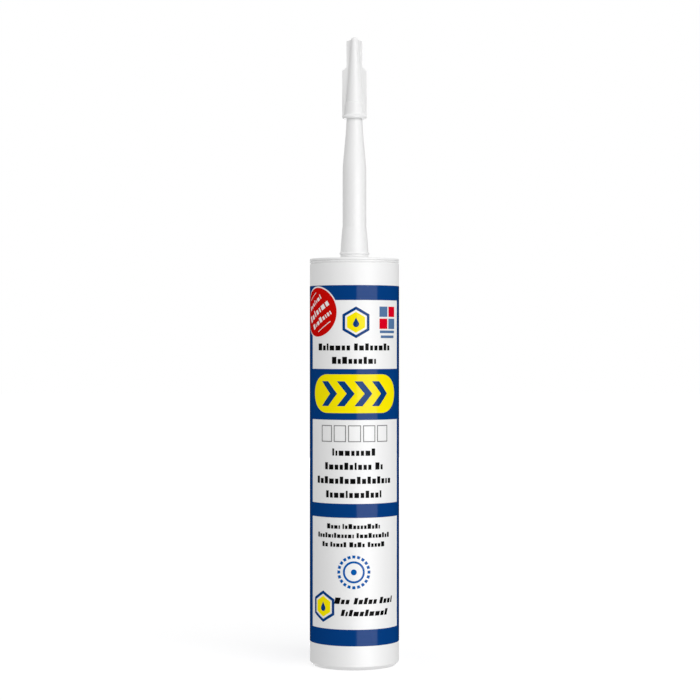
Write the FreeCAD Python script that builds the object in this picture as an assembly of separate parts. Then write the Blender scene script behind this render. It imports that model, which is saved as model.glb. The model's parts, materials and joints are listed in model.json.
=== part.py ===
import FreeCAD, Part
import math
import os

# A cartridge of sealing paste, standing upright on its tail rim.
# The origin is the centre of the plane it stands on, and +Z runs up its axis.
# The middle of its printed face looks along -Y. All sizes are in millimetres.

# Barrel
barrel_radius = 24.75
barrel_height = 225.3
barrel_wall = 1.5
end_wall = 2.0
inner_corner = 1.0
tail_bevel = 2.1
tail_rim = 1.0
mouth_land = 1.2
upper_groove_depth = 0.12
upper_groove_width = 0.3
upper_groove_below_top = 1.2
lower_groove_depth = 0.22
lower_groove_width = 0.55
lower_groove_below_top = 2.5

# Neck and the boss around it
neck_radius = 5.15
neck_height = 15.7
neck_chamfer = 0.5
channel_radius = 3.6
membrane = 0.8
thread_crest = 5.6
boss_height = 0.9
boss_margin = 0.7

# Piston
piston_recess = 22.0
piston_height = 24.0
piston_clearance = 0.1
piston_lip_height = 2.5
piston_waist_depth = 0.7
piston_wall = 1.3
piston_crown = 2.0
piston_edge = 0.5
rib_count = 8
rib_thickness = 1.2
rib_depth = 4.0
hub_radius = 7.0

# Nozzle, from its foot on the boss to its tip
thread_clearance = 0.15
neck_tip_gap = 0.6
grip_above_neck = 2.7
shaft_length = 29.0
blend_length = 7.9
waist_length = 14.8
neckdown_length = 7.9
tip_cone_length = 9.7
tip_length = 21.0
foot_chamfer = 0.3
skirt_height = 1.1
bead_height = 1.7
skirt_wall = 2.35
bead_wall = 2.55
base_wall = 2.0
grip_wall = 0.8
base_bulge = 0.13
blend_bulge = 0.1
blend_radius = 6.14
waist_radius = 4.78
cap_line_radius = 4.35
tip_cone_radius = 3.45
tip_radius = 1.5
nozzle_wall = 1.25
tip_bore = 0.75

# Cap
cap_clearance = 0.12
cap_headroom = 0.8
flange_thickness = 1.0
flange_wall = 2.33
flare_height = 1.5
collar_height = 3.5
collar_wall = 1.18
collar_top_height = 9.2
collar_top_wall = 0.98
cap_cone_wall = 0.88
cap_tip_wall = 1.08
cap_cone_above_tip = 14.8
cap_end_radius = 1.8
cap_dome = 0.6
wing_thickness = 1.2
wing_half_width = 4.43
wing_step_height = 26.5
wing_step_rise = 2.2
wing_top_below_end = 2.4
wing_top_slope = 1.1

# Print: drops are measured down from its top edge, and widths round the barrel
ink = 0.1
print_bottom = 13.5
print_below_top = 15.2
print_seam = 1.0
window_half_angle = 70.7
top_band = 8.1
title_window = 37.6
plaque_band = 27.7
body_window = 45.7
middle_band = 7.6
foot_window = 60.9
bottom_band = 9.0

seal_radius = 13.4
seal_outline = 0.5
seal_margin = 1.2
seal_across = -23.45
seal_tilt = 32.0
# Strokes as shares of the seal's radius: offset from its middle, length and thickness
seal_strokes = [
    (0.754, 0.634, 0.037),
    (0.478, 1.045, 0.142),
    (0.022, 1.493, 0.239),
    (-0.403, 1.231, 0.179),
    (-0.701, 0.821, 0.037),
]

badge_outer = 8.6
badge_inner = 6.9
badge_tile = 5.7
badge_across = 0.8
badge_drop = 20.25
low_badge_rise = 12.0
low_badge_gap = 0.25
drop_radius = 1.7
drop_length = 3.6

tile_across = 20.5
tile_drop = 17.7
tile_side = 5.6
tile_gap = 1.0
tile_bar_gap = 0.9
tile_bar_height = 1.4
tile_bar_pitch = 2.7
tile_bar_shares = [0.951, 0.852]

plaque_half_width = 26.4
plaque_radius = 10.55
plaque_lift = 0.4
chevron_count = 4
chevron_pitch = 9.8
chevron_thickness = 4.4
chevron_reach = 5.6
chevron_height = 13.6

swatch_count = 5
swatch_width = 7.0
swatch_height = 9.1
swatch_gap = 1.2
swatch_line = 0.45
swatch_drop = 7.5

title_type = 3.5
title_rise = 11.9
title_pitch = 7.3
body_type = 3.6
body_gap = 5.65
body_pitch = 7.65
small_type = 2.5
small_drop = 4.8
small_pitch = 4.95
foot_type = 3.2
foot_rise = 15.5
foot_pitch = 6.5
# Where each word starts and ends, in heights of its type from the front line
title_rows = [[(-6.46, -0.71), (-0.06, 6.2)], [(-3.66, 3.46)]]
body_rows = [
    [(-3.5, 3.22)],
    [(-4.83, 2.61), (3.28, 4.58)],
    [(-6.53, 6.22)],
    [(-4.64, 4.33)],
]
small_rows = [
    [(-6.4, -3.24), (-2.64, 5.84)],
    [(-9.16, -0.16), (0.44, 8.48)],
    [(-7.76, -6.24), (-5.56, -1.84), (-1.12, 2.2), (2.92, 7.04)],
]
foot_rows = [[(-3.5, -0.88), (-0.06, 3.94), (4.56, 7.41)], [(-2.28, 6.19)]]

mark_across = -0.4
mark_drop = 29.6
mark_ring_outer = 6.0
mark_ring_inner = 4.9
mark_dot_radius = 1.6
dash_count = 20
dash_inner = 7.6
dash_outer = 9.2
dash_share = 0.62

# Sizes that follow from those above
bore_radius = barrel_radius - barrel_wall
tail_radius = barrel_radius - tail_bevel
mouth_radius = tail_radius - tail_rim
ceiling = barrel_height - end_wall
boss_top = barrel_height + boss_height
neck_top = barrel_height + neck_height
socket_radius = thread_crest + thread_clearance
boss_radius = socket_radius + bead_wall + boss_margin
piston_radius = bore_radius - piston_clearance
piston_front = piston_recess + piston_height

skirt_top = boss_top + skirt_height
bead_top = skirt_top + bead_height
socket_top = neck_top + neck_tip_gap
grip_top = neck_top + grip_above_neck
shaft_top = grip_top + shaft_length
blend_top = shaft_top + blend_length
waist_top = blend_top + waist_length
cap_line = waist_top + neckdown_length
tip_cone_top = cap_line + tip_cone_length
nozzle_tip = tip_cone_top + tip_length
grip_radius = socket_radius + grip_wall

cap_end = nozzle_tip + cap_cone_above_tip
flange_radius = cap_line_radius + cap_clearance + flange_wall

# The print's windows as drops from its top edge, and what hangs from them
print_top = barrel_height - print_below_top
title_top = top_band
title_bottom = title_top + title_window
body_top = title_bottom + plaque_band
body_bottom = body_top + body_window
foot_top = body_bottom + middle_band
foot_bottom = foot_top + foot_window
print_drop = foot_bottom + bottom_band
windows = [(title_top, title_bottom), (body_top, body_bottom), (foot_top, foot_bottom)]
swatches_below = body_top + swatch_drop + swatch_height / 2
text_blocks = [
    (title_bottom - title_rise, title_pitch, title_type, title_rows),
    (swatches_below + body_gap, body_pitch, body_type, body_rows),
    (foot_top + small_drop, small_pitch, small_type, small_rows),
    (foot_bottom - foot_rise, foot_pitch, foot_type, foot_rows),
]

centre = FreeCAD.Vector(0, 0, 0)
up = FreeCAD.Vector(0, 0, 1)


def point(radius, height):
    """A point of a turned outline, in the XZ plane."""
    return FreeCAD.Vector(radius, 0, height)


def path(*points):
    """Straight edges through points given as (radius, height)."""
    return [
        Part.LineSegment(point(*a), point(*b)).toShape()
        for a, b in zip(points, points[1:])
    ]


def bulged(start, end, bulge):
    """An arc from start to end whose middle stands out from the chord by bulge."""
    middle = point((start[0] + end[0]) / 2 + bulge, (start[1] + end[1]) / 2)
    return [Part.Arc(point(*start), middle, point(*end)).toShape()]


def dome(radius, rise, top):
    """An arc from (radius, top - rise) up to the axis at top."""
    ball = (radius**2 + rise**2) / (2 * rise)
    half = math.asin(radius / ball) / 2
    middle = point(ball * math.sin(half), top - ball + ball * math.cos(half))
    return [Part.Arc(point(radius, top - rise), middle, point(0, top)).toShape()]


def turned(edges):
    """The solid made by turning a closed outline in the XZ plane about the Z axis."""
    wire = Part.Wire(Part.__sortEdges__(edges))
    return Part.Face(wire).revolve(centre, up, 360)


def closed(*points):
    """A closed outline of straight edges."""
    return path(*points, points[0])


def groove(below_top, width, depth):
    """The ring that a groove takes out of the barrel's wall."""
    top = barrel_height - below_top
    outside = barrel_radius + barrel_wall
    inside = barrel_radius - depth
    return turned(
        closed((inside, top - width), (outside, top - width), (outside, top), (inside, top))
    )


def make_barrel():
    """One moulding: tail rim, wall, end wall, boss and the neck that a membrane closes."""
    outline = closed(
        (mouth_radius, 0),
        (tail_radius, 0),
        (barrel_radius, tail_bevel),
        (barrel_radius, barrel_height),
        (boss_radius, barrel_height),
        (boss_radius, boss_top),
        (neck_radius, boss_top),
        (neck_radius, neck_top - neck_chamfer),
        (neck_radius - neck_chamfer, neck_top),
        (0, neck_top),
        (0, neck_top - membrane),
        (channel_radius, neck_top - membrane),
        (channel_radius, ceiling),
        (bore_radius - inner_corner, ceiling),
        (bore_radius, ceiling - inner_corner),
        (bore_radius, mouth_land + bore_radius - mouth_radius),
        (mouth_radius, mouth_land),
    )
    upper = groove(upper_groove_below_top, upper_groove_width, upper_groove_depth)
    lower = groove(lower_groove_below_top, lower_groove_width, lower_groove_depth)
    return turned(outline).cut([upper, lower])


def make_piston():
    """A cup that is open to the tail, with a sealing lip at each end and ribs behind its crown."""
    waist = piston_radius - piston_waist_depth
    inside = waist - piston_wall
    crown_rear = piston_front - piston_crown
    cup = turned(
        closed(
            (inside, piston_recess),
            (piston_radius, piston_recess),
            (piston_radius, piston_recess + piston_lip_height),
            (waist, piston_recess + piston_lip_height + piston_waist_depth),
            (waist, piston_front - piston_lip_height - piston_waist_depth),
            (piston_radius, piston_front - piston_lip_height),
            (piston_radius, piston_front - piston_edge),
            (piston_radius - piston_edge, piston_front),
            (0, piston_front),
            (0, crown_rear),
            (inside, crown_rear),
        )
    )
    ribs = [
        turned(
            closed(
                (hub_radius - rib_thickness, crown_rear - rib_depth),
                (hub_radius, crown_rear - rib_depth),
                (hub_radius, crown_rear + piston_crown / 2),
                (hub_radius - rib_thickness, crown_rear + piston_crown / 2),
            )
        )
    ]
    reach = (inside + waist) / 2
    start = hub_radius - rib_thickness / 2
    for n in range(rib_count):
        rib = Part.makeBox(
            reach - start,
            rib_thickness,
            rib_depth + piston_crown / 2,
            FreeCAD.Vector(start, -rib_thickness / 2, crown_rear - rib_depth),
        )
        rib.rotate(centre, up, 360 * n / rib_count)
        ribs.append(rib)
    return cup.fuse(ribs).removeSplitter()


def make_sealant():
    """The paste, from the piston's face to the end wall and up the neck to the membrane."""
    return turned(
        closed(
            (0, piston_front),
            (bore_radius, piston_front),
            (bore_radius, ceiling - inner_corner),
            (bore_radius - inner_corner, ceiling),
            (channel_radius, ceiling),
            (channel_radius, neck_top - membrane),
            (0, neck_top - membrane),
        )
    )


def make_nozzle():
    """A hollow moulding whose foot stands on the boss and whose socket goes over the neck."""
    foot_radius = socket_radius + skirt_wall
    skirt_end = (foot_radius, skirt_top)
    bead_end = (socket_radius + base_wall, bead_top)
    bead_middle = point(socket_radius + bead_wall, (skirt_top + bead_top) / 2)
    outside = (
        path(
            (socket_radius, boss_top),
            (foot_radius - foot_chamfer, boss_top),
            (foot_radius, boss_top + foot_chamfer),
            skirt_end,
        )
        + [Part.Arc(point(*skirt_end), bead_middle, point(*bead_end)).toShape()]
        + bulged(bead_end, (grip_radius, grip_top), base_bulge)
        + path((grip_radius, grip_top), (grip_radius, shaft_top))
        + bulged((grip_radius, shaft_top), (blend_radius, blend_top), blend_bulge)
        + path(
            (blend_radius, blend_top),
            (waist_radius, waist_top),
            (cap_line_radius, cap_line),
            (tip_cone_radius, tip_cone_top),
            (tip_radius, nozzle_tip),
            (tip_bore, nozzle_tip),
        )
    )
    inside = path(
        (tip_bore, nozzle_tip),
        (tip_cone_radius - nozzle_wall, tip_cone_top),
        (cap_line_radius - nozzle_wall, cap_line),
        (waist_radius - nozzle_wall, waist_top),
        (blend_radius - nozzle_wall, blend_top),
        (grip_radius - nozzle_wall, shaft_top),
        (grip_radius - nozzle_wall, grip_top),
        (socket_radius, socket_top),
        (socket_radius, boss_top),
    )
    return turned(outside + inside)


def make_cap():
    """One moulding: a flanged hollow cone with a flat wing on each side."""
    seat_radius = cap_line_radius + cap_clearance
    knee_radius = tip_cone_radius + cap_clearance
    end_radius = tip_radius + cap_clearance
    socket_end = nozzle_tip + cap_headroom
    cone_base = (knee_radius + cap_cone_wall, tip_cone_top)
    shell = turned(
        path(
            (0, cap_line),
            (flange_radius, cap_line),
            (flange_radius, cap_line + flange_thickness),
            (seat_radius + collar_wall, cap_line + flange_thickness + flare_height),
            (seat_radius + collar_wall, cap_line + collar_height),
            (knee_radius + collar_top_wall, cap_line + collar_top_height),
            cone_base,
            (end_radius + cap_tip_wall, nozzle_tip),
            (cap_end_radius, cap_end - cap_dome),
        )
        + dome(cap_end_radius, cap_dome, cap_end)
        + path((0, cap_end), (0, cap_line))
    )
    step = cap_line + wing_step_height
    wing_top = cap_end - wing_top_below_end
    half = [
        (flange_radius, cap_line),
        (flange_radius, step),
        (wing_half_width, step + wing_step_rise),
        (wing_half_width, wing_top),
        (cap_end_radius / 2, wing_top + wing_top_slope),
    ]
    mirrored = [(-x, z) for x, z in reversed(half)]
    wings = Part.Face(Part.Wire(closed(*half, *mirrored)))
    wings.translate(FreeCAD.Vector(0, -wing_thickness / 2, 0))
    wings = wings.extrude(FreeCAD.Vector(0, wing_thickness, 0))
    socket = turned(
        closed(
            (0, cap_line),
            (seat_radius, cap_line),
            (knee_radius, tip_cone_top),
            (end_radius, socket_end),
            (0, socket_end + end_radius),
        )
    )
    return shell.fuse(wings).cut(socket).removeSplitter()


def level(drop):
    """The height of a drop from the print's top edge, with the artwork fitted to the print."""
    return print_top - drop * (print_top - print_bottom) / print_drop


def bar(left, right, bottom, top, margin=0.0):
    """A bar of ink between two arc lengths and two heights, or with a margin, its cutter."""
    inside, outside = barrel_radius - margin, barrel_radius + ink + margin
    face = Part.Face(
        Part.Wire(closed((inside, bottom), (outside, bottom), (outside, top), (inside, top)))
    )
    face.rotate(centre, up, math.degrees(left / barrel_radius) - 90)
    return face.revolve(centre, up, math.degrees((right - left) / barrel_radius))


def field_edge():
    """The arc length from the front line round to the seam at the back."""
    return math.pi * barrel_radius - print_seam / 2


def field():
    """The whole printed area, from one side of the seam round to the other."""
    return bar(-field_edge(), field_edge(), print_bottom, print_top)


def flattened(across):
    """How far to the side an arc length from the middle of a shape lies once it is wrapped."""
    return barrel_radius * math.sin(across / barrel_radius)


def cutter(wire, across):
    """A prism through the ink, with its outline wrapped at an arc length from the front line."""
    prism = Part.Face(wire).extrude(FreeCAD.Vector(0, -2 * barrel_radius, 0))
    prism.rotate(centre, up, math.degrees(across / barrel_radius))
    return prism


def polygon(points, across, height, tilt=0.0):
    """The cutter of a straight-sided shape, given by points about its own middle."""
    turn = math.radians(tilt)
    spun = [
        (
            x * math.cos(turn) - z * math.sin(turn),
            x * math.sin(turn) + z * math.cos(turn),
        )
        for x, z in points
    ]
    wire = Part.Wire(closed(*[(flattened(x), z + height) for x, z in spun]))
    return cutter(wire, across)


def box_points(width, height):
    """The corners of an upright rectangle about its middle."""
    x, z = width / 2, height / 2
    return [(-x, -z), (x, -z), (x, z), (-x, z)]


def disc(radius, across, height):
    """The cutter of a round spot."""
    oval = Part.Ellipse(
        point(0, height + radius), point(flattened(radius), height), point(0, height)
    )
    return cutter(Part.Wire(oval.toShape()), across)


def regular(count, radius):
    """The corners of a regular shape that stands on a corner."""
    return [
        (
            radius * math.sin(2 * math.pi * n / count),
            -radius * math.cos(2 * math.pi * n / count),
        )
        for n in range(count)
    ]


def inked(shape):
    """The solids of ink that a cutter gives, within the printed height."""
    return shape.common(field()).Solids


def pill(across, half_width, height, radius):
    """The cutter of a bar with round ends."""
    left = -(half_width - radius)
    right = -left
    side = half_width
    edges = [
        Part.LineSegment(
            point(flattened(left), height - radius), point(flattened(right), height - radius)
        ).toShape(),
        Part.Arc(
            point(flattened(right), height - radius),
            point(flattened(side), height),
            point(flattened(right), height + radius),
        ).toShape(),
        Part.LineSegment(
            point(flattened(right), height + radius), point(flattened(left), height + radius)
        ).toShape(),
        Part.Arc(
            point(flattened(left), height + radius),
            point(flattened(-side), height),
            point(flattened(left), height - radius),
        ).toShape(),
    ]
    return cutter(Part.Wire(edges), across)


def plaque():
    """The cutter of the plaque, which lies between the two upper windows."""
    middle = (title_bottom + body_top) / 2 - plaque_lift
    return pill(0, plaque_half_width, level(middle), plaque_radius)


def chevrons():
    """The cutters of the arrow-like strokes on the plaque."""
    half = chevron_height / 2
    stroke = [
        (-chevron_thickness, half),
        (0, half),
        (chevron_reach, 0),
        (0, -half),
        (-chevron_thickness, -half),
        (chevron_reach - chevron_thickness, 0),
    ]
    middle = (chevron_count - 1) / 2
    shift = (chevron_thickness - chevron_reach) / 2
    height = level((title_bottom + body_top) / 2 - plaque_lift)
    return [
        polygon(stroke, (n - middle) * chevron_pitch + shift, height) for n in range(chevron_count)
    ]


def seal_disc(margin):
    """The cutter of the round seal, with a margin round it."""
    return disc(seal_radius + margin, seal_across, level(seal_margin + seal_radius))


def bare_strokes():
    """The cutters of the slanted strokes that stay white on the round seal."""
    height = level(seal_margin + seal_radius)
    cutters = []
    for offset, length, thickness in seal_strokes:
        across, rise = length * seal_radius, thickness * seal_radius
        corners = [(x, z + offset * seal_radius) for x, z in box_points(across, rise)]
        cutters.append(polygon(corners, seal_across, height, seal_tilt))
    return cutters


def badge_places():
    """The middles of the two badges; the low one stands beside the last block of words."""
    words = foot_rows[0][0][0] * foot_type
    beside = words - low_badge_gap - badge_outer * math.sin(math.pi / 3)
    return [(badge_across, level(badge_drop)), (beside, level(foot_bottom - low_badge_rise))]


def drop_shape(across, height):
    """The cutter of a drop: a round foot under a pointed top."""
    foot = height - (drop_length - drop_radius) / 2
    slope = math.acos(drop_radius / drop_length)
    side = drop_radius * math.sin(slope)
    rise = drop_radius * math.cos(slope)
    edges = path((side, foot + rise), (0, foot + drop_length), (-side, foot + rise))
    low = point(0, foot - drop_radius)
    edges.append(Part.Arc(point(-side, foot + rise), low, point(side, foot + rise)).toShape())
    return cutter(Part.Wire(edges), across)


def make_blue():
    """The sheets and bands round the windows, the chevrons, and the badges' rings and drops."""
    side = math.radians(window_half_angle) * barrel_radius
    levels = [print_top, *[level(drop) for window in windows for drop in window], print_bottom]
    sheets = [bar(-side, side, low, high) for high, low in zip(levels[::2], levels[1::2])]
    sheets.append(bar(-field_edge(), -side, print_bottom, print_top))
    sheets.append(bar(side, field_edge(), print_bottom, print_top))
    solids = []
    for sheet in sheets:
        solids += sheet.cut([seal_disc(seal_outline), plaque()]).Solids
    for stroke in chevrons():
        solids += inked(stroke)
    for across, height in badge_places():
        outer = polygon(regular(6, badge_outer), across, height)
        inner = polygon(regular(6, badge_inner), across, height)
        solids += inked(outer.cut(inner))
        solids += inked(drop_shape(across, height))
    return Part.makeCompound(solids)


def make_yellow():
    """The plaque between its chevrons and the badges' tiles around their drops."""
    solids = inked(plaque().cut(chevrons()))
    for across, height in badge_places():
        tile = polygon(regular(6, badge_tile), across, height)
        solids += inked(tile.cut(drop_shape(across, height)))
    return Part.makeCompound(solids)


def make_red():
    """The round seal with its slanted strokes left bare."""
    return Part.makeCompound(inked(seal_disc(0).cut(bare_strokes())))


def box(across, height, width, rise):
    """A bar of ink given by its middle and its size."""
    return bar(across - width / 2, across + width / 2, height - rise / 2, height + rise / 2)


def tiles(rising):
    """One diagonal pair of the four square tiles."""
    step = (tile_side + tile_gap) / 2
    places = [(-step, -step), (step, step)] if rising else [(-step, step), (step, -step)]
    height = level(tile_drop)
    return [box(tile_across + x, height + z, tile_side, tile_side) for x, z in places]


def make_crimson():
    """The rising pair of tiles."""
    return Part.makeCompound(tiles(True))


def make_slate():
    """The falling pair of tiles and the fine bars under them."""
    half = tile_side + tile_gap / 2
    first = level(tile_drop) - half - tile_bar_gap - tile_bar_height / 2
    bars = [
        box(tile_across, first - n * tile_bar_pitch, 2 * half * share, tile_bar_height)
        for n, share in enumerate(tile_bar_shares)
    ]
    return Part.makeCompound(tiles(False) + bars)


def make_black():
    """A plain bar for each word."""
    return Part.makeCompound(
        [
            bar(
                start * type_size,
                end * type_size,
                level(first + n * pitch) - type_size / 2,
                level(first + n * pitch) + type_size / 2,
            )
            for first, pitch, type_size, rows in text_blocks
            for n, row in enumerate(rows)
            for start, end in row
        ]
    )


def make_grey():
    """A row of outlined swatch boxes."""
    pitch = swatch_width + swatch_gap
    bottom = level(body_top + swatch_drop) - swatch_height / 2
    top = bottom + swatch_height
    line = swatch_line
    solids = []
    for n in range(swatch_count):
        left = (n - swatch_count / 2) * pitch + swatch_gap / 2
        right = left + swatch_width
        hole = bar(left + line, right - line, bottom + line, top - line, ink)
        solids += bar(left, right, bottom, top).cut(hole).Solids
    return Part.makeCompound(solids)


def make_sky():
    """The round mark: a dot in a ring, with a ring of dashes around them."""
    height = level(foot_top + mark_drop)
    ring = disc(mark_ring_outer, mark_across, height)
    solids = inked(ring.cut(disc(mark_ring_inner, mark_across, height)))
    solids += inked(disc(mark_dot_radius, mark_across, height))
    half = math.pi / dash_count * dash_share
    for n in range(dash_count):
        turn = 2 * math.pi * n / dash_count
        corners = [
            (radius * math.sin(turn + side), radius * math.cos(turn + side))
            for radius, side in (
                (dash_inner, -half),
                (dash_outer, -half),
                (dash_outer, half),
                (dash_inner, half),
            )
        ]
        solids += inked(polygon(corners, mark_across, height))
    return Part.makeCompound(solids)


parts = {
    "barrel": make_barrel,
    "piston": make_piston,
    "sealant": make_sealant,
    "nozzle": make_nozzle,
    "cap": make_cap,
    "print_blue": make_blue,
    "print_yellow": make_yellow,
    "print_red": make_red,
    "print_crimson": make_crimson,
    "print_slate": make_slate,
    "print_black": make_black,
    "print_grey": make_grey,
    "print_sky": make_sky,
}

os.makedirs("parts", exist_ok=True)
for name, make in parts.items():
    shape = make()
    shape.exportStep("parts/" + name + ".step")
    print(name, len(shape.Solids), "solids", round(shape.Volume, 1), "mm3", shape.isValid())
print("piston travel", round(ceiling - inner_corner - piston_front, 2), "mm")
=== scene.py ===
import json
import math
import random

import bmesh
import bpy
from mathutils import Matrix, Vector
from mathutils.geometry import delaunay_2d_cdt

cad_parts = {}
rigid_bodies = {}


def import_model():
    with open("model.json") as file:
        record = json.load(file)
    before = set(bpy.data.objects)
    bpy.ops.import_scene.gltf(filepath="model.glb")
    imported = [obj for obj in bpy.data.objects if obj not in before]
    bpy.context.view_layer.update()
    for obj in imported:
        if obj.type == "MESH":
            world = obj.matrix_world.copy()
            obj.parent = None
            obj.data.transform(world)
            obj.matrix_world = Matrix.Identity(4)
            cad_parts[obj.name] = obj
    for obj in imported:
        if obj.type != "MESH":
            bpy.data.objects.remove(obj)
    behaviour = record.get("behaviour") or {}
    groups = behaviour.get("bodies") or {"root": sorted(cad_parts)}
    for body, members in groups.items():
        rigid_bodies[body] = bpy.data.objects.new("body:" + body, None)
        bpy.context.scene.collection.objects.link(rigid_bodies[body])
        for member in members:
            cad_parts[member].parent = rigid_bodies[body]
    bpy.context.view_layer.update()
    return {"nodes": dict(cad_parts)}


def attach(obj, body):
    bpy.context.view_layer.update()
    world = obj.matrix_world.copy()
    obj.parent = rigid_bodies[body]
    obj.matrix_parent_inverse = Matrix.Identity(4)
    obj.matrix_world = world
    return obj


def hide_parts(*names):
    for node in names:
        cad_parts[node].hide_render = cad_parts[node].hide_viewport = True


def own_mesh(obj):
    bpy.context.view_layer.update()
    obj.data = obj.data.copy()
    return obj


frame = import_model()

MM = 0.001

# Sizes of the barrel and of its print, in millimetres
BARREL_R = 24.75
BARREL_TOP = 225.3
BORE_R = 23.25
CEILING = 223.3
BOSS_TOP = 226.2
NECK_R = 5.15
NECK_TOP = 241.0
CHANNEL_R = 3.6
PRINT_LOW = 13.5
PRINT_HIGH = 210.1
SEAM = 1.0
PRINT_EDGE = math.pi * BARREL_R - SEAM / 2
INK_TOP = BARREL_R + 0.095
INK_FOOT = BARREL_R - 0.02
CAP_FOOT = 303.3
CAP_FLANGE_R = 6.8


# ---- Mesh helpers ----

def show(name, mesh, body, material, slot, *nodes):
    """Put a finished mesh in the scene: it rides on a body and may stand for CAD nodes."""
    piece = bpy.data.objects.new(name, mesh)
    bpy.context.scene.collection.objects.link(piece)
    if material is not None:
        mesh.materials.append(material)
    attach(piece, body)
    if nodes:
        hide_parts(*nodes)
    return piece


def rounded(points):
    """An outline of (radius, height) points, where a third number rounds that corner."""
    outline = []
    count = len(points)
    for n, corner in enumerate(points):
        here = Vector(corner[:2])
        if len(corner) < 3:
            outline.append(tuple(here))
            continue
        before = Vector(points[n - 1][:2]) - here
        after = Vector(points[(n + 1) % count][:2]) - here
        half = before.angle(after) / 2
        reach = min(corner[2] / math.tan(half), before.length * 0.49, after.length * 0.49)
        radius = reach * math.tan(half)
        middle = here + (before.normalized() + after.normalized()).normalized() * (
            radius / math.sin(half)
        )
        start = here + before.normalized() * reach - middle
        end = here + after.normalized() * reach - middle
        steps = 5
        for k in range(steps + 1):
            share = k / steps
            turn = start.angle_signed(end) * share
            cos, sin = math.cos(-turn), math.sin(-turn)
            spoke = Vector((start.x * cos - start.y * sin, start.x * sin + start.y * cos))
            outline.append(tuple(middle + spoke))
    return outline


def curve_between(start, end, bulge, steps=10):
    """Points between two outline points on an arc whose middle stands out by bulge."""
    points = []
    for k in range(1, steps):
        t = k / steps
        points.append(
            (
                start[0] + (end[0] - start[0]) * t + bulge * 4 * t * (1 - t),
                start[1] + (end[1] - start[1]) * t,
            )
        )
    return points


def turned(name, outline, steps=160, sharp=32.0):
    """A closed outline of (radius, height) turned about the Z axis, with exact normals."""
    count = len(outline)
    rings, verts = [], []
    for radius, height in outline:
        if radius < 1e-6:
            rings.append([len(verts)] * steps)
            verts.append((0.0, 0.0, height * MM))
            continue
        rings.append(list(range(len(verts), len(verts) + steps)))
        for k in range(steps):
            turn = 2 * math.pi * k / steps
            verts.append((radius * MM * math.cos(turn), radius * MM * math.sin(turn), height * MM))
    edges = [Vector(outline[(n + 1) % count]) - Vector(outline[n]) for n in range(count)]
    area = sum(
        outline[n][0] * outline[(n + 1) % count][1] - outline[(n + 1) % count][0] * outline[n][1]
        for n in range(count)
    )
    side = 1 if area > 0 else -1
    facing = [Vector((e.y, -e.x)).normalized() * side for e in edges]

    def corner_normal(edge, corner):
        """The normal of an edge of the outline at one of its two corners."""
        other = (edge - 1) % count if corner == edge else (edge + 1) % count
        if math.degrees(facing[edge].angle(facing[other])) > sharp:
            return facing[edge]
        if edges[edge].length > 3 * edges[other].length:
            return facing[edge]
        if edges[other].length > 3 * edges[edge].length:
            return facing[other]
        return (facing[edge] + facing[other]).normalized()

    faces, normals = [], []
    for n in range(count):
        m = (n + 1) % count
        if outline[n][0] < 1e-6 and outline[m][0] < 1e-6:
            continue
        low, high = corner_normal(n, n), corner_normal(n, m)
        for k in range(steps):
            j = (k + 1) % steps
            corners = [
                (rings[n][k], low, k),
                (rings[n][j], low, j),
                (rings[m][j], high, j),
                (rings[m][k], high, k),
            ]
            if side < 0:
                corners.reverse()
            if outline[n][0] < 1e-6 or outline[m][0] < 1e-6:
                seen, kept = set(), []
                for corner in corners:
                    if corner[0] not in seen:
                        seen.add(corner[0])
                        kept.append(corner)
                corners = kept
            faces.append([c[0] for c in corners])
            for _, facing_here, step in corners:
                turn = 2 * math.pi * step / steps
                normals.append(
                    (
                        facing_here.x * math.cos(turn),
                        facing_here.x * math.sin(turn),
                        facing_here.y,
                    )
                )
    mesh = bpy.data.meshes.new(name)
    mesh.from_pydata(verts, [], faces)
    mesh.update()
    mesh.polygons.foreach_set("use_smooth", [True] * len(mesh.polygons))
    mesh.normals_split_custom_set(normals)
    return mesh


# ---- Materials ----

def group_node(tree, group, **values):
    """Place a shader node group in a material with its own values."""
    node = tree.nodes.new("ShaderNodeGroup")
    node.node_tree = group
    for name, value in values.items():
        node.inputs[name].default_value = value
    return node


def new_group(name, inputs, outputs):
    """An empty shader node group with named sockets."""
    group = bpy.data.node_groups.new(name, "ShaderNodeTree")
    for label, kind, value in inputs:
        socket = group.interface.new_socket(label, in_out="INPUT", socket_type=kind)
        socket.default_value = value
    for label, kind in outputs:
        group.interface.new_socket(label, in_out="OUTPUT", socket_type=kind)
    return group, group.nodes.new("NodeGroupInput"), group.nodes.new("NodeGroupOutput")


def noise(group, source, scale, detail, stretch=None):
    """A noise texture on object coordinates, which may be stretched along an axis."""
    vector = source
    if stretch is not None:
        mapping = group.nodes.new("ShaderNodeMapping")
        mapping.inputs["Scale"].default_value = stretch
        group.links.new(source, mapping.inputs["Vector"])
        vector = mapping.outputs["Vector"]
    node = group.nodes.new("ShaderNodeTexNoise")
    node.inputs["Scale"].default_value = scale
    node.inputs["Detail"].default_value = detail
    group.links.new(vector, node.inputs["Vector"])
    return node.outputs["Fac"]


def math_node(group, operation, first, second, clamp=False):
    """A math node whose inputs are sockets or numbers."""
    node = group.nodes.new("ShaderNodeMath")
    node.operation = operation
    node.use_clamp = clamp
    for slot, value in enumerate((first, second)):
        if isinstance(value, (int, float)):
            node.inputs[slot].default_value = value
        else:
            group.links.new(value, node.inputs[slot])
    return node.outputs[0]


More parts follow.
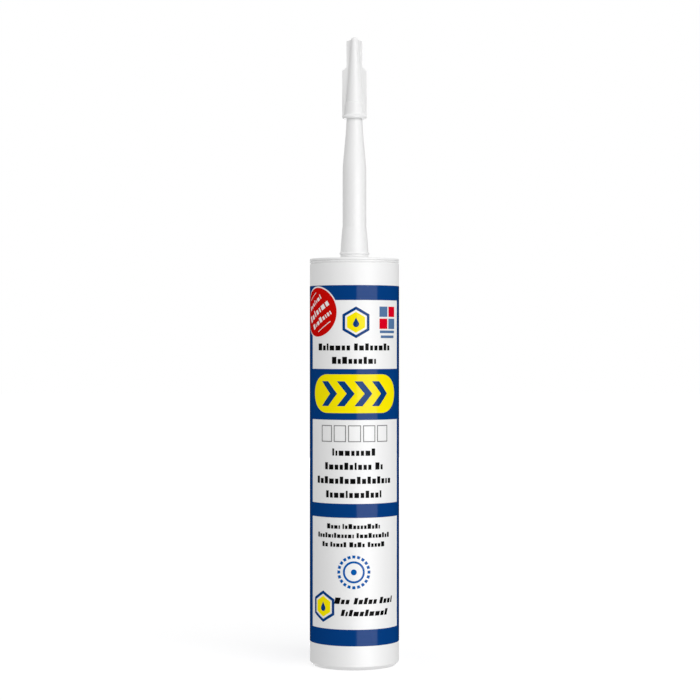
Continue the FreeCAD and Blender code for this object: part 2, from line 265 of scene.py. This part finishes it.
def make_moulded_skin():
    """Moulded plastic: faint orange peel, flow lines along the tube, handling dulling."""
    group, inside, outside = new_group(
        "moulded skin",
        [
            ("Colour", "NodeSocketColor", (0.9, 0.9, 0.9, 1)),
            ("Tint", "NodeSocketFloat", 0.02),
            ("Roughness", "NodeSocketFloat", 0.35),
            ("Dulling", "NodeSocketFloat", 0.06),
            ("Peel", "NodeSocketFloat", 0.35),
        ],
        [
            ("Colour", "NodeSocketColor"),
            ("Roughness", "NodeSocketFloat"),
            ("Height", "NodeSocketFloat"),
        ],
    )
    place = group.nodes.new("ShaderNodeTexCoord").outputs["Object"]
    peel = noise(group, place, 900.0, 2.0)
    flow = noise(group, place, 60.0, 3.0, stretch=(1.0, 1.0, 0.06))
    cloud = noise(group, place, 35.0, 4.0)
    streak = math_node(group, "SUBTRACT", flow, 0.5)
    shade = math_node(group, "MULTIPLY", streak, inside.outputs["Tint"])
    bright = math_node(group, "ADD", 1.0, shade)
    scale = group.nodes.new("ShaderNodeVectorMath")
    scale.operation = "SCALE"
    group.links.new(inside.outputs["Colour"], scale.inputs[0])
    group.links.new(bright, scale.inputs["Scale"])
    group.links.new(scale.outputs[0], outside.inputs["Colour"])
    patch = math_node(group, "SUBTRACT", cloud, 0.45)
    dull = math_node(group, "MULTIPLY", patch, inside.outputs["Dulling"])
    group.links.new(
        math_node(group, "ADD", inside.outputs["Roughness"], dull, clamp=True),
        outside.inputs["Roughness"],
    )
    group.links.new(
        math_node(group, "MULTIPLY", peel, inside.outputs["Peel"]), outside.inputs["Height"]
    )
    return group


def make_ink_skin():
    """Printed ink: a fine press grain, a slow drift of density and a few dulled patches."""
    group, inside, outside = new_group(
        "ink skin",
        [
            ("Colour", "NodeSocketColor", (0.0, 0.04, 0.2, 1)),
            ("Density", "NodeSocketFloat", 0.08),
            ("Roughness", "NodeSocketFloat", 0.12),
            ("Dulling", "NodeSocketFloat", 0.04),
        ],
        [
            ("Colour", "NodeSocketColor"),
            ("Roughness", "NodeSocketFloat"),
            ("Height", "NodeSocketFloat"),
        ],
    )
    place = group.nodes.new("ShaderNodeTexCoord").outputs["Object"]
    grain = noise(group, place, 1800.0, 1.0)
    drift = noise(group, place, 28.0, 2.0, stretch=(1.0, 1.0, 0.25))
    both = math_node(group, "ADD", math_node(group, "MULTIPLY", grain, 0.4), drift)
    shade = math_node(
        group, "MULTIPLY", math_node(group, "SUBTRACT", both, 0.7), inside.outputs["Density"]
    )
    scale = group.nodes.new("ShaderNodeVectorMath")
    scale.operation = "SCALE"
    group.links.new(inside.outputs["Colour"], scale.inputs[0])
    group.links.new(math_node(group, "ADD", 1.0, shade), scale.inputs["Scale"])
    group.links.new(scale.outputs[0], outside.inputs["Colour"])
    dull = math_node(group, "MULTIPLY", drift, inside.outputs["Dulling"])
    group.links.new(
        math_node(group, "ADD", inside.outputs["Roughness"], dull), outside.inputs["Roughness"]
    )
    group.links.new(grain, outside.inputs["Height"])
    return group


MOULDED = make_moulded_skin()
INK = make_ink_skin()


def skinned(name, group, bump, values, gloss):
    """A material that takes colour, roughness and bump from one of the skin groups."""
    material = bpy.data.materials.new(name)
    material.use_nodes = True
    tree = material.node_tree
    shader = tree.nodes["Principled BSDF"]
    for socket, value in gloss.items():
        shader.inputs[socket].default_value = value
    skin = group_node(tree, group, **values)
    tree.links.new(skin.outputs["Colour"], shader.inputs["Base Color"])
    tree.links.new(skin.outputs["Roughness"], shader.inputs["Roughness"])
    relief = tree.nodes.new("ShaderNodeBump")
    relief.inputs["Strength"].default_value = bump
    relief.inputs["Distance"].default_value = 0.00002
    tree.links.new(skin.outputs["Height"], relief.inputs["Height"])
    tree.links.new(relief.outputs["Normal"], shader.inputs["Normal"])
    return material


def moulded(name, colour, roughness, level=0.5, tint=0.02, peel=0.35, dulling=0.06):
    """White plastic as it comes out of the mould."""
    return skinned(
        name,
        MOULDED,
        0.25,
        {
            "Colour": (*colour, 1),
            "Tint": tint,
            "Roughness": roughness,
            "Dulling": dulling,
            "Peel": peel,
        },
        {"Specular IOR Level": level},
    )


def printed(name, colour, density=0.08, level=0.14):
    """One of the tube's inks."""
    return skinned(
        name,
        INK,
        0.02,
        {"Colour": (*colour, 1), "Density": density, "Roughness": 0.1, "Dulling": 0.04},
        {"Specular IOR Level": level},
    )


barrel_plastic = moulded("barrel plastic", (0.86, 0.86, 0.86), 0.55, level=1.0)
nozzle_plastic = moulded("nozzle plastic", (0.86, 0.86, 0.86), 0.48, level=1.0, tint=0.03)
cap_plastic = moulded("cap plastic", (0.86, 0.86, 0.86), 0.48, level=1.0)
# The wings are the same white plastic as the cap, painted darker to stand in for the shade on their
# flat faces
wing_plastic_painted_shade = moulded("cap wings, painted shade", (0.77, 0.77, 0.77), 0.5, level=0.3)
piston_plastic = moulded("piston plastic", (0.8, 0.8, 0.79), 0.5, level=0.4, peel=0.6)
paste = moulded("white paste", (0.84, 0.84, 0.82), 0.6, level=0.3, peel=1.0)

INKS = {
    "blue": printed("blue ink", (0.001, 0.044, 0.205)),
    "yellow": printed("yellow ink", (0.95, 0.8, 0.0), density=0.04),
    "red": printed("red ink", (0.58, 0.002, 0.001)),
    "crimson": printed("crimson ink", (0.68, 0.0, 0.015)),
    "slate": printed("slate ink", (0.09, 0.18, 0.35)),
    "black": printed("black ink", (0.004, 0.004, 0.004), level=0.03),
    "grey": printed("grey ink", (0.2, 0.2, 0.2)),
    "sky": printed("sky ink", (0.0, 0.1, 0.4)),
}


# ---- Camera, lights and stage ----

CAMERA_PLACE = (-2.48 * MM, -1.0935, 0.1775)
CAMERA_LENS = 101.06
CAMERA_DROP = 0.146  # degrees below level
WORLD_FILL = 0.66
SHEET_GLOW = 3.68  # of the panels that only reflections show


def set_camera():
    """A nearly level camera in front of the print, a little to the left of the tube's axis."""
    data = bpy.data.cameras.new("camera")
    data.sensor_width = 36.0
    data.lens = CAMERA_LENS
    data.clip_end = 50.0
    camera = bpy.data.objects.new("camera", data)
    camera.location = CAMERA_PLACE
    camera.rotation_euler = (math.radians(90 - CAMERA_DROP), 0, 0)
    bpy.context.scene.collection.objects.link(camera)
    bpy.context.scene.camera = camera


def panel(name, azimuth, width, low, high, glow, lights=True, mirrored=True, distance=2.0):
    """A soft upright light panel, at an azimuth measured to the right of the tube's front."""
    data = bpy.data.lights.new(name, "AREA")
    data.shape = "RECTANGLE"
    data.size, data.size_y = width, high - low
    data.energy = glow * math.pi * width * (high - low)
    light = bpy.data.objects.new(name, data)
    turn = math.radians(azimuth)
    light.location = (distance * math.sin(turn), -distance * math.cos(turn), (low + high) / 2)
    light.rotation_euler = (math.radians(90), 0, turn)
    light.visible_camera = False
    light.visible_diffuse = lights
    light.visible_glossy = mirrored
    bpy.context.scene.collection.objects.link(light)


def seen_directly(tree):
    """1 for camera, glossy and transmission rays, and 0 for the rays that light things."""
    path = tree.nodes.new("ShaderNodeLightPath")
    total = math_node(tree, "ADD", path.outputs["Is Camera Ray"], path.outputs["Is Glossy Ray"])
    return math_node(tree, "ADD", total, path.outputs["Is Transmission Ray"], clamp=True)


def set_world(fill):
    """White where it is seen, and a plain even fill where it lights."""
    world = bpy.data.worlds.new("studio")
    world.use_nodes = True
    tree = world.node_tree
    back = tree.nodes["Background"]
    back.inputs["Color"].default_value = (1, 1, 1, 1)
    seen = seen_directly(tree)
    strength = math_node(tree, "ADD", math_node(tree, "MULTIPLY", seen, 1.0 - fill), fill)
    tree.links.new(strength, back.inputs["Strength"])
    bpy.context.scene.world = world


def lay_floor():
    """A pale floor that shows as white from above, keeps the tube's shadow and is clear from below."""
    mesh = bpy.data.meshes.new("floor")
    side = 6.0
    mesh.from_pydata(
        [(-side, -side, 0), (side, -side, 0), (side, side, 0), (-side, side, 0)], [], [(0, 1, 2, 3)]
    )
    floor = bpy.data.objects.new("floor", mesh)
    bpy.context.scene.collection.objects.link(floor)
    floor.location.z = -0.00005
    floor.visible_diffuse = False
    floor.visible_glossy = False
    floor.visible_shadow = False
    material = bpy.data.materials.new("pale floor")
    material.use_nodes = True
    tree = material.node_tree
    shader = tree.nodes["Principled BSDF"]
    shader.inputs["Base Color"].default_value = (0.6, 0.6, 0.6, 1)
    shader.inputs["Roughness"].default_value = 1.0
    shader.inputs["Specular IOR Level"].default_value = 0.0
    shader.inputs["Emission Color"].default_value = (1, 1, 1, 1)
    distance = tree.nodes.new("ShaderNodeVectorMath")
    distance.operation = "LENGTH"
    place = tree.nodes.new("ShaderNodeTexCoord").outputs["Object"]
    tree.links.new(place, distance.inputs[0])
    level = tree.nodes.new("ShaderNodeMapRange")
    level.inputs["From Min"].default_value = 0.3
    level.inputs["From Max"].default_value = 2.5
    level.inputs["To Min"].default_value = 0.52
    level.inputs["To Max"].default_value = 0.62
    tree.links.new(distance.outputs["Value"], level.inputs["Value"])
    glow = math_node(tree, "MULTIPLY", seen_directly(tree), level.outputs["Result"])
    tree.links.new(glow, shader.inputs["Emission Strength"])
    clear = tree.nodes.new("ShaderNodeBsdfTransparent")
    one_sided = tree.nodes.new("ShaderNodeMixShader")
    facing = tree.nodes.new("ShaderNodeNewGeometry")
    tree.links.new(facing.outputs["Backfacing"], one_sided.inputs["Fac"])
    tree.links.new(shader.outputs["BSDF"], one_sided.inputs[1])
    tree.links.new(clear.outputs["BSDF"], one_sided.inputs[2])
    tree.links.new(one_sided.outputs["Shader"], tree.nodes["Material Output"].inputs["Surface"])
    mesh.materials.append(material)


def hang_flags():
    """A ring of black cloth that only reflections meet, so that glossy edges stay dark."""
    radius, low, high, count = 4.0, -3.0, 1.8, 64
    verts = []
    for height in (low, high):
        for k in range(count):
            turn = 2 * math.pi * k / count
            verts.append((radius * math.cos(turn), radius * math.sin(turn), height))
    faces = [(k, (k + 1) % count, count + (k + 1) % count, count + k) for k in range(count)]
    mesh = bpy.data.meshes.new("flags")
    mesh.from_pydata(verts, [], faces)
    flags = bpy.data.objects.new("flags", mesh)
    bpy.context.scene.collection.objects.link(flags)
    flags.visible_camera = False
    flags.visible_diffuse = False
    flags.visible_transmission = False
    flags.visible_volume_scatter = False
    flags.visible_shadow = False
    material = bpy.data.materials.new("black cloth")
    material.use_nodes = True
    shader = material.node_tree.nodes["Principled BSDF"]
    shader.inputs["Base Color"].default_value = (0.0, 0.0, 0.0, 1)
    shader.inputs["Roughness"].default_value = 1.0
    shader.inputs["Specular IOR Level"].default_value = 0.0
    mesh.materials.append(material)


bpy.context.scene.view_settings.view_transform = "Standard"
set_camera()
set_world(WORLD_FILL)
lay_floor()
hang_flags()
panel("softbox", 29.0, 3.7, 1.2, 2.6, 4.93, mirrored=False, distance=3.6)
panel("softbox sheet", 33.0, 2.06, -1.6, 0.49, SHEET_GLOW, lights=False)
panel("back softbox", 180.0, 1.4, -0.31, 0.49, 1.6, mirrored=False)
panel("back sheet", 180.0, 1.3, -1.6, -0.31, SHEET_GLOW, lights=False)
panel("rim light", -135.0, 1.2, -0.2, 1.0, 1.55, mirrored=False)


# ---- Barrel ----

def ring_groove(below_top, width, depth):
    """Outline points of a groove round the barrel, from its foot to its top."""
    high = BARREL_TOP - below_top
    return [
        (BARREL_R, high - width, 0.06),
        (BARREL_R - depth, high - width * 0.8, 0.08),
        (BARREL_R - depth, high - width * 0.2, 0.08),
        (BARREL_R, high, 0.06),
    ]


barrel_outline = rounded(
    [
        (21.65, 0.0, 0.25),
        (22.65, 0.0, 0.25),
        (BARREL_R, 2.1, 0.35),
        *ring_groove(2.2, 0.8, 0.5),
        *ring_groove(1.15, 0.4, 0.5),
        (BARREL_R, BARREL_TOP, 0.4),
        (9.0, BARREL_TOP, 0.3),
        (9.0, BOSS_TOP, 0.25),
        (NECK_R, BOSS_TOP, 0.3),
        (NECK_R, NECK_TOP, 0.5),
        (0.0, NECK_TOP),
        (0.0, NECK_TOP - 0.8),
        (CHANNEL_R, NECK_TOP - 0.8),
        (CHANNEL_R, CEILING, 0.3),
        (BORE_R, CEILING, 1.0),
        (BORE_R, 2.8, 0.6),
        (21.65, 1.2, 0.3),
    ]
)
show(
    "barrel_shell",
    turned("barrel_shell", barrel_outline, steps=224),
    "barrel",
    barrel_plastic,
    "barrel_white",
    "barrel",
)


def helix(name, low, high, turns, root, crest, land):
    """A trapezoid ridge wound round the neck, which fades into it at both ends."""
    steps = 64 * turns
    verts, faces = [], []
    for n in range(steps + 1):
        share = n / steps
        turn = 2 * math.pi * turns * share
        fade = min(1.0, share * turns * 4, (1 - share) * turns * 4)
        middle = low + (high - low) * share
        top = root + (crest - root) * fade
        section = (
            (root - 0.1, -land),
            (top, -land * 0.35),
            (top, land * 0.35),
            (root - 0.1, land),
        )
        for radius, rise in section:
            verts.append(
                (radius * MM * math.cos(turn), radius * MM * math.sin(turn), (middle + rise) * MM)
            )
        if n:
            a = 4 * (n - 1)
            for k in range(4):
                j = (k + 1) % 4
                faces.append((a + k, a + 4 + k, a + 4 + j, a + j))
    faces.append((3, 2, 1, 0))
    last = 4 * steps
    faces.append((last, last + 1, last + 2, last + 3))
    mesh = bpy.data.meshes.new(name)
    mesh.from_pydata(verts, [], faces)
    mesh.update()
    return mesh


show(
    "neck_thread",
    helix("neck_thread", 228.6, 238.6, 4, NECK_R, 5.56, 0.8),
    "barrel",
    barrel_plastic,
    "barrel_white",
)


# ---- Print ----

# Places of the printed motifs: arc length right of the front line, and height
SEAL = (-23.45, 195.5)
SEAL_TILT = 32.0
BADGES = ((0.8, 189.85), (-18.9, 34.5))
TILES = (20.5, 192.4)
ROUND_MARK = (-0.4, 53.8)
PLAQUE_HEIGHT = 150.95
BOXES_HEIGHT = 129.2
WINDOWS = ((164.4, 202.0), (91.0, 136.7), (22.5, 83.4))
WINDOW_SIDES = (-68.6, 70.7)  # degrees round the barrel

# The blocks that stand for words, as shares of their row's size
BLOCK_GAP = 0.24
BLOCK_FOOT = -0.5
BLOCK_TOP = 0.26
TALL_TOP = 0.58
TALL_CHANCE = 0.35


def arc_point(across, height, radius):
    """A point of the wrapped print in metres, from its arc length and height."""
    turn = across / BARREL_R
    return (radius * MM * math.sin(turn), -radius * MM * math.cos(turn), height * MM)


def rectangle(left, right, low, high):
    return [(left, low), (right, low), (right, high), (left, high)]


def around(across, height, points, tilt=0.0):
    """Points about a middle, turned by a tilt in degrees."""
    turn = math.radians(tilt)
    cos, sin = math.cos(turn), math.sin(turn)
    return [(across + x * cos - z * sin, height + x * sin + z * cos) for x, z in points]


def block(width, height, offset=0.0):
    return rectangle(-width / 2, width / 2, offset - height / 2, offset + height / 2)


def oval(across, height, radius, steps=72):
    return around(
        across,
        height,
        [
            (radius * math.cos(2 * math.pi * k / steps), radius * math.sin(2 * math.pi * k / steps))
            for k in range(steps)
        ],
    )


def hexagon(across, height, radius):
    return around(
        across,
        height,
        [
            (radius * math.sin(math.pi * k / 3), -radius * math.cos(math.pi * k / 3))
            for k in range(6)
        ],
    )


def drop(across, height):
    """A drop with a round foot and a pointed top."""
    radius, length = 1.7, 3.6
    foot = height - (length - radius) / 2
    slope = math.acos(radius / length)
    points = [(across, foot + length)]
    for k in range(21):
        turn = math.pi / 2 - slope - (2 * math.pi - 2 * slope) * k / 20
        points.append((across + radius * math.cos(turn), foot + radius * math.sin(turn)))
    return points


def pill(half_width, height, radius):
    """A bar with round ends."""
    flat = half_width - radius
    points = []
    for middle, start in ((flat, -90), (-flat, 90)):
        for k in range(25):
            turn = math.radians(start + 180 * k / 24)
            points.append((middle + radius * math.cos(turn), height + radius * math.sin(turn)))
    return points


def blocks_for_words(spans, size, dice, pitch=0.78, slant=0.0):
    """Each word as a row of plain blocks about height 0, of uneven widths, the first one taller."""
    shapes = []
    lean = math.tan(math.radians(slant))
    for start, end in spans:
        room = (end - start) * size
        gap = size * BLOCK_GAP
        count = max(2, round((room + gap) / (size * pitch)))
        widths = [dice.choice((0.6, 1.0, 1.0, 1.15, 1.5)) for _ in range(count)]
        unit = (room - gap * (count - 1)) / sum(widths)
        left = start * size
        tall = False
        for k, width in enumerate(widths):
            tall = k == 0 or (not tall and dice.random() < TALL_CHANCE)
            top = size * (TALL_TOP if tall else BLOCK_TOP)
            shape = rectangle(left, left + width * unit, BLOCK_FOOT * size, top)
            shapes.append([(x + z * lean, z) for x, z in shape])
            left += width * unit + gap
    return shapes


def artwork():
    """Every printed shape from the lowest layer up, as (ink or None for bare plastic, points)."""
    left_side, right_side = (math.radians(turn) * BARREL_R for turn in WINDOW_SIDES)
    layers = [("blue", rectangle(-PRINT_EDGE, PRINT_EDGE, PRINT_LOW, PRINT_HIGH))]
    for low, high in WINDOWS:
        layers.append((None, rectangle(left_side, right_side, low, high)))
    layers.append((None, oval(*SEAL, 14.2, 96)))
    layers.append(("red", oval(*SEAL, 13.4, 96)))
    dice = random.Random(7)
    for offset, length in ((10.1, 8.5), (-9.4, 11.0)):
        layers.append((None, around(*SEAL, block(length, 0.5, offset), SEAL_TILT)))
    for offset, size, half in ((6.0, 2.6, 2.6), (0.5, 3.6, 2.7), (-5.0, 2.8, 3.0)):
        for shape in blocks_for_words([(-half, half)], size, dice):
            shape = [(x, z + offset) for x, z in shape]
            layers.append((None, around(*SEAL, shape, SEAL_TILT)))
    layers.append(("yellow", pill(26.4, PLAQUE_HEIGHT, 10.55)))
    for n in range(4):
        middle = (n - 1.5) * 9.8 - 0.6
        stroke = [(-4.4, 6.8), (1.2, 0), (-4.4, -6.8), (0, -6.8), (5.6, 0), (0, 6.8)]
        layers.append(("blue", around(middle, PLAQUE_HEIGHT, stroke)))
    for across, height in BADGES:
        layers.append(("blue", hexagon(across, height, 8.6)))
        layers.append((None, hexagon(across, height, 6.9)))
        layers.append(("yellow", hexagon(across, height, 5.7)))
        layers.append(("blue", drop(across, height)))
    across, height = TILES
    for x, z, ink in (
        (-3.3, -3.3, "crimson"),
        (3.3, 3.3, "crimson"),
        (-3.3, 3.3, "slate"),
        (3.3, -3.3, "slate"),
    ):
        layers.append((ink, around(across + x, height + z, block(5.6, 5.6))))
    layers.append(("slate", around(across, 184.7, block(11.6, 1.4))))
    layers.append(("slate", around(across, 182.0, block(10.4, 1.4))))
    for n in range(5):
        middle = (n - 2) * 8.2
        layers.append(("grey", around(middle, BOXES_HEIGHT, block(7.0, 9.1))))
        layers.append((None, around(middle, BOXES_HEIGHT, block(6.1, 8.2))))
    layers.append(("sky", oval(*ROUND_MARK, 6.0)))
    layers.append((None, oval(*ROUND_MARK, 4.9)))
    layers.append(("sky", oval(*ROUND_MARK, 1.6, 32)))
    for n in range(20):
        turn = math.pi * n / 10
        half = math.pi / 20 * 0.62
        points = [
            (radius * math.sin(turn + side), radius * math.cos(turn + side))
            for radius, side in ((7.6, -half), (9.2, -half), (9.2, half), (7.6, half))
        ]
        layers.append(("sky", around(*ROUND_MARK, points)))
    rows = [
        (176.3, 3.5, 0.8, 0, [(-6.46, -0.71), (-0.06, 6.2)]),
        (169.0, 3.5, 0.8, 0, [(-3.66, 3.46)]),
        (119.0, 3.6, 0.8, 0, [(-3.5, 3.22)]),
        (111.35, 3.6, 0.8, 0, [(-4.83, 2.61), (3.28, 4.58)]),
        (103.7, 3.6, 0.8, 0, [(-6.53, 6.22)]),
        (96.05, 3.6, 0.8, 0, [(-4.64, 4.33)]),
        (78.6, 2.5, 0.8, 0, [(-6.4, -3.24), (-2.64, 5.84)]),
        (73.65, 2.5, 0.8, 0, [(-9.16, -0.16), (0.44, 8.48)]),
        (68.7, 2.5, 0.8, 0, [(-7.76, -6.24), (-5.56, -1.84), (-1.12, 2.2), (2.92, 7.04)]),
        (38.0, 3.2, 0.85, 14, [(-3.5, -0.88), (-0.06, 3.94), (4.56, 7.41)]),
        (31.5, 3.2, 0.85, 14, [(-2.28, 6.19)]),
    ]
    for height, size, pitch, slant, spans in rows:
        for shape in blocks_for_words(spans, size, dice, pitch, slant):
            layers.append(("black", [(x, z + height) for x, z in shape]))
    return layers


def inside(x, z, shape):
    """Whether a point lies in a closed outline."""
    held = False
    for (x1, z1), (x2, z2) in zip(shape, shape[1:] + shape[:1]):
        if (z1 > z) != (z2 > z) and x < x1 + (x2 - x1) * (z - z1) / (z2 - z1):
            held = not held
    return held


def print_barrel():
    """Cut the artwork into one mosaic, wrap it round the barrel and make a piece of each ink."""
    layers = artwork()
    points, outlines, ribs = [], [], []
    for _, shape in layers:
        outlines.append(list(range(len(points), len(points) + len(shape))))
        points += shape
    count = 130
    for k in range(1, count):
        across = -PRINT_EDGE + 2 * PRINT_EDGE * k / count
        ribs.append((len(points), len(points) + 1))
        points += [(across, PRINT_LOW), (across, PRINT_HIGH)]
    flat, _, faces, _, _, _ = delaunay_2d_cdt(
        [Vector(p) for p in points], ribs, outlines, 1, 1e-5
    )
    boxes = [(min(xs), max(xs), min(zs), max(zs)) for xs, zs in (zip(*s) for _, s in layers)]
    cells = {ink: [] for ink in INKS}
    for face in faces:
        a, b, c = (flat[i] for i in face)
        x, z = (a + b + c) / 3
        for (ink, shape), (left, right, low, high) in zip(reversed(layers), reversed(boxes)):
            if left < x < right and low < z < high and inside(x, z, shape):
                if ink:
                    leftward = (b - a).cross(c - a) > 0
                    cells[ink].append(list(face) if leftward else list(reversed(face)))
                break
    for ink, tops in cells.items():
        show(
            "print_" + ink + "_ink",
            wrapped("print_" + ink + "_ink", flat, tops),
            "barrel",
            INKS[ink],
            "ink_" + ink,
            "print_" + ink,
        )


def wrapped(name, flat, tops):
    """A closed skin of ink over the given cells, with normals that follow the barrel."""
    used = sorted({i for face in tops for i in face})
    place = {i: n for n, i in enumerate(used)}
    size = len(used)
    verts = [arc_point(flat[i].x, flat[i].y, INK_TOP) for i in used]
    verts += [arc_point(flat[i].x, flat[i].y, INK_FOOT) for i in used]
    spokes = [arc_point(flat[i].x, 0, 1 / MM) for i in used]
    faces, normals, count = [], [], {}
    for face in tops:
        for a, b in zip(face, face[1:] + face[:1]):
            count[(a, b)] = count.get((a, b), 0) + 1
        here = [place[i] for i in face]
        faces.append(here)
        normals += [spokes[i] for i in here]
        faces.append([i + size for i in reversed(here)])
        normals += [tuple(-c for c in spokes[i]) for i in reversed(here)]
    for a, b in count:
        if (b, a) in count:
            continue
        wall = [place[a], place[a] + size, place[b] + size, place[b]]
        first, second, third = (Vector(verts[i]) for i in wall[:3])
        facing = (second - first).cross(third - second).normalized()
        faces.append(wall)
        normals += [tuple(facing)] * 4
    mesh = bpy.data.meshes.new(name)
    mesh.from_pydata(verts, [], faces)
    mesh.update()
    mesh.polygons.foreach_set("use_smooth", [True] * len(mesh.polygons))
    mesh.normals_split_custom_set(normals)
    return mesh


print_barrel()


# ---- Paste ----

def fill_barrel():
    """The paste in front of the piston, as one fixed column, and the plug in the neck."""
    column = rounded(
        [
            (0.0, 46.05),
            (22.6, 46.05, 0.5),
            (23.15, 47.2, 0.4),
            (23.15, CEILING - 1.1, 0.4),
            (22.2, CEILING - 0.05, 0.4),
            (0.0, CEILING - 0.05),
        ]
    )
    piece = show(
        "paste_column",
        turned("paste_column", column, steps=96),
        "barrel",
        paste,
        "paste_white",
        "sealant",
    )
    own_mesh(piece)
    plug = rounded(
        [
            (0.0, CEILING - 0.02),
            (CHANNEL_R - 0.05, CEILING - 0.02),
            (CHANNEL_R - 0.05, NECK_TOP - 0.95, 0.4),
            (0.0, NECK_TOP - 0.85),
        ]
    )
    show("paste_plug", turned("paste_plug", plug, steps=64), "barrel", paste, "paste_white", "sealant")


fill_barrel()

piston_node = frame["nodes"]["piston"]
piston_node.data.materials.clear()
piston_node.data.materials.append(piston_plastic)


# ---- Nozzle ----

def make_nozzle():
    """A hollow moulding from the beaded skirt on the boss up to its tapered tip."""
    base = (7.75, 229.0)
    grip = (6.55, 243.7)
    shaft = (6.55, 272.7)
    blend = (6.14, 280.6)
    outline = rounded(
        [
            (5.75, BOSS_TOP + 0.02, 0.15),
            (7.85, BOSS_TOP + 0.02, 0.3),
            (7.7, 227.6),
        ]
    )
    for k in range(1, 12):
        turn = math.pi * (k / 12 - 0.5)
        outline.append((7.75 + 0.55 * math.cos(turn), 228.3 + 0.7 * math.sin(turn)))
    outline += [base] + curve_between(base, grip, 0.13)
    outline += [grip, shaft] + curve_between(shaft, blend, 0.1)
    outline += [
        blend,
        (4.78, 295.4),
        (4.35, 303.3),
        (3.45, 313.0),
        (1.5, 333.8),
        (1.42, 333.95),
        (1.3, 334.0),
        (0.85, 334.0),
        (0.75, 333.9),
        (2.2, 313.0),
        (3.1, 303.3),
        (3.53, 295.4),
        (4.89, 280.6),
        (5.3, 272.7),
        (5.3, 243.7),
        (5.75, 241.6),
    ]
    show(
        "nozzle_shell",
        turned("nozzle_shell", outline, steps=128),
        "nozzle",
        nozzle_plastic,
        "nozzle_white",
        "nozzle",
    )


make_nozzle()


# ---- Cap ----

def plate(name, outline, thickness, bevel):
    """A flat plate in the XZ plane with eased edges."""
    build = bmesh.new()
    front = [build.verts.new((x * MM, -thickness * MM / 2, z * MM)) for x, z in outline]
    build.faces.new(front)
    build.faces.ensure_lookup_table()
    pushed = bmesh.ops.extrude_face_region(build, geom=list(build.faces))
    for vert in pushed["geom"]:
        if isinstance(vert, bmesh.types.BMVert):
            vert.co.y += thickness * MM
    bmesh.ops.recalc_face_normals(build, faces=list(build.faces))
    bmesh.ops.bevel(
        build,
        geom=[e for e in build.edges if abs(e.verts[0].co.y - e.verts[1].co.y) < 1e-9],
        offset=bevel * MM,
        segments=3,
        profile=0.5,
        affect="EDGES",
    )
    mesh = bpy.data.meshes.new(name)
    build.to_mesh(mesh)
    build.free()
    return mesh


def combined(name, base, changes):
    """The base mesh with others added to it or cut out of it, as one closed mesh."""
    scene = bpy.context.scene.collection.objects
    body = bpy.data.objects.new(name, base)
    scene.link(body)
    helpers = []
    for operation, mesh in changes:
        helper = bpy.data.objects.new("helper", mesh)
        scene.link(helper)
        helpers.append(helper)
        change = body.modifiers.new(operation.lower(), "BOOLEAN")
        change.operation = operation
        change.solver = "EXACT"
        change.object = helper
    bpy.context.view_layer.update()
    done = bpy.data.meshes.new_from_object(
        body.evaluated_get(bpy.context.evaluated_depsgraph_get())
    )
    for helper in [*helpers, body]:
        bpy.data.objects.remove(helper)
    done.name = name
    return done


def make_cap():
    """A hollow cone with a flange, closed at its end, and a thin stepped wing on each side."""
    shell = turned(
        "cap_outside",
        rounded(
            [
                (0.0, CAP_FOOT),
                (6.35, CAP_FOOT, 0.1),
                (CAP_FLANGE_R, 304.1, 0.15),
                (6.65, 304.6, 0.15),
                (5.35, 305.5, 1.0),
                (4.75, 312.1, 0.2),
                (4.45, 312.5, 0.2),
                (2.7, 334.0),
                (1.8, 348.2, 0.9),
                (0.0, 348.8),
            ]
        ),
        steps=96,
    )
    half = [
        (6.4, 303.5),
        (CAP_FLANGE_R, 304.1),
        (CAP_FLANGE_R, 329.8),
        (4.43, 332.0),
        (4.43, 346.4),
        (0.9, 347.5),
    ]
    outline = half + [(-x, z) for x, z in reversed(half)]
    wings = plate("wings", outline, 1.2, 0.22)
    socket = turned(
        "cap_socket",
        [(0.0, 303.0), (4.5, 303.0), (4.47, 303.3), (3.57, 313.0), (1.62, 334.8), (0.0, 336.4)],
        steps=96,
    )
    mesh = combined("cap_shell", shell, [("UNION", wings), ("DIFFERENCE", socket)])
    mesh.polygons.foreach_set("use_smooth", [True] * len(mesh.polygons))
    mesh.set_sharp_from_angle(angle=math.radians(28))
    mesh.materials.clear()
    mesh.materials.append(cap_plastic)
    mesh.materials.append(wing_plastic_painted_shade)
    # The flat faces of the wings take the darker copy of the plastic, which paints shade on them
    for polygon in mesh.polygons:
        middle = polygon.center
        flat = abs(middle.y) > 0.0003 and abs(polygon.normal.y) > 0.99
        polygon.material_index = 1 if flat and abs(middle.x) > 0.0012 else 0
    show("cap_shell", mesh, "cap", None, "cap_white", "cap")


make_cap()
